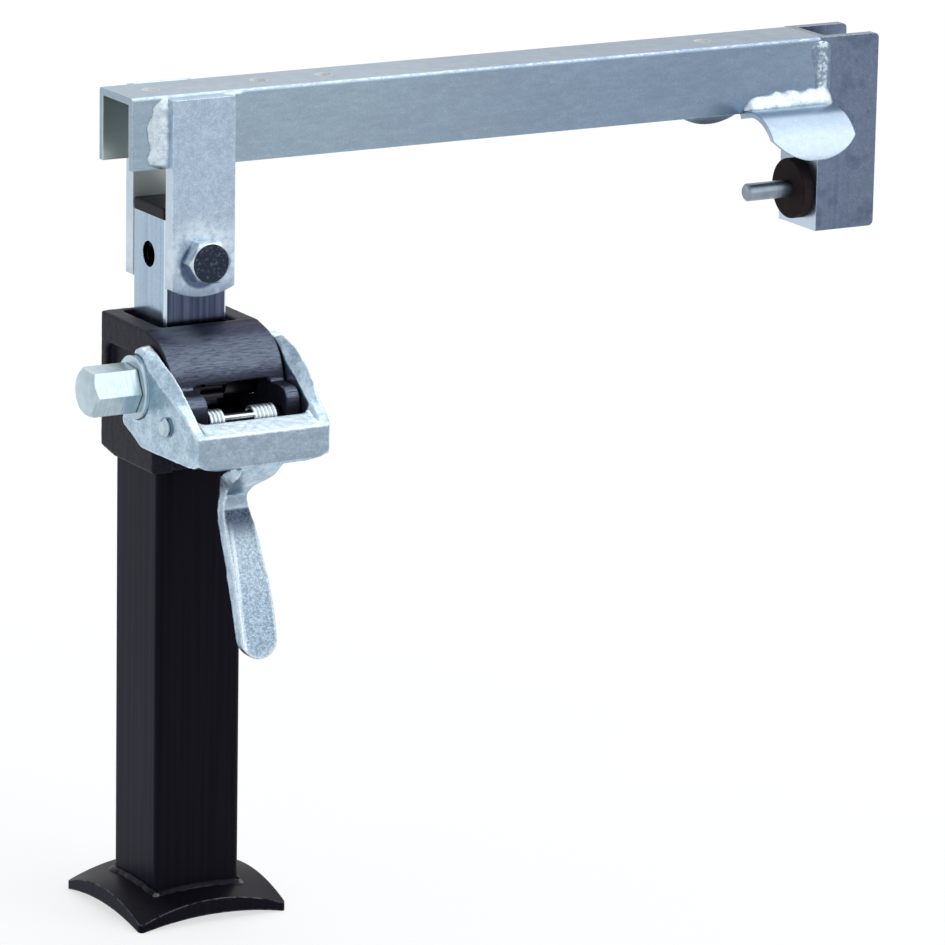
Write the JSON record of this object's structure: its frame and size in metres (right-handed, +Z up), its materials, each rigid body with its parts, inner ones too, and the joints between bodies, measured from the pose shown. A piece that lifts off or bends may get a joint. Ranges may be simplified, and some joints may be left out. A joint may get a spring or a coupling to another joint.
{
  "type": "stabilizer leg",
  "caption": "Folding chassis stabilizer leg: telescoping square tubes with rack and hex-driven pinion, forked release yoke with handle, crowned foot, mounting channel with stow bracket.",
  "frame": {"origin": "on the channel's top face, on its centre line, straight above the pivot bolt", "axes": "+X along the channel to the stow bracket, +Z up, -Y to the side of the gear and handle"},
  "size_m": [0.4994, 0.1556, 0.4506],
  "materials": {
    "zinc_plate": "zinc plated and passivated, dull blue-grey with a fine mottle",
    "zinc_tube": "bright zinc plated drawn tube with fine lines along it",
    "zinc_bolt": "bright zinc plated",
    "cast_zinc": "sand cast, zinc plated, bright and rough",
    "black_paint": "satin black paint",
    "black_casting": "satin black over a rough casting",
    "turned_steel": "turned and zinc plated",
    "pin_steel": "plain steel, mid grey",
    "spring_steel": "plated spring wire",
    "rubber": "matte brown-black",
    "black_plastic": "moulded black",
    "guide_nylon": "natural nylon"
  },
  "bodies": {
    "bracket": {"chassis_channel": "zinc_plate", "stow_bracket": "zinc_plate", "front_lug": "zinc_plate", "rear_lug": "zinc_plate", "front_guide_lip": "zinc_plate", "rear_guide_lip": "zinc_plate", "stow_pin": "pin_steel", "stow_pin_nut": "zinc_bolt", "rubber_buffer": "rubber", "pivot_bolt": "zinc_bolt", "pivot_washer": "zinc_bolt", "pivot_nut": "zinc_bolt"},
    "inner_leg": {"inner_tube": "zinc_tube", "inner_tube_cap": "black_plastic", "rack": "turned_steel", "lower_guide": "guide_nylon"},
    "outer_leg": {"outer_tube": "black_paint", "foot_plate": "black_paint", "gear_housing": "black_casting", "upper_guide": "guide_nylon", "lever_pin": "turned_steel", "torsion_spring": "spring_steel"},
    "release_lever": {"release_yoke": "cast_zinc"},
    "bushes": {"left_collar": "turned_steel", "right_collar": "turned_steel"},
    "drive": {"pinion_shaft": "turned_steel", "retaining_ring": "spring_steel"}
  },
  "joints": [
    {"name": "leg_fold", "type": "hinge", "parent": "bracket", "child": "inner_leg", "pos_m": [0, 0, -0.0885], "axis": [0, -1, 0], "range_deg": [-15, 80]},
    {"name": "leg_extend", "type": "slide", "parent": "inner_leg", "child": "outer_leg", "axis": [0, 0, -1], "range_m": [-0.008, 0.2]},
    {"name": "release", "type": "hinge", "parent": "outer_leg", "child": "release_lever", "pos_m": [0, -0.0655, -0.1662], "axis": [1, 0, 0], "range_deg": [0, 14.5], "stiffness_Nm_per_rad": 3, "springref_deg": -34.38, "deforming": ["torsion_spring"]},
    {"name": "bush_roll", "type": "hinge", "parent": "release_lever", "child": "bushes", "pos_m": [0, -0.0299, -0.1522], "axis": [1, 0, 0], "range_deg": [-70, 5]},
    {"name": "drive_spin", "type": "hinge", "parent": "bushes", "child": "drive", "pos_m": [0, -0.0299, -0.1522], "axis": [1, 0, 0], "range_deg": [-60, 1200]}
  ],
  "couplings": [
    {"joint": "bush_roll", "follows": "release", "ratio": -4.346},
    {"joint": "drive_spin", "follows": "leg_extend", "rad_per_m": 100}
  ]
}
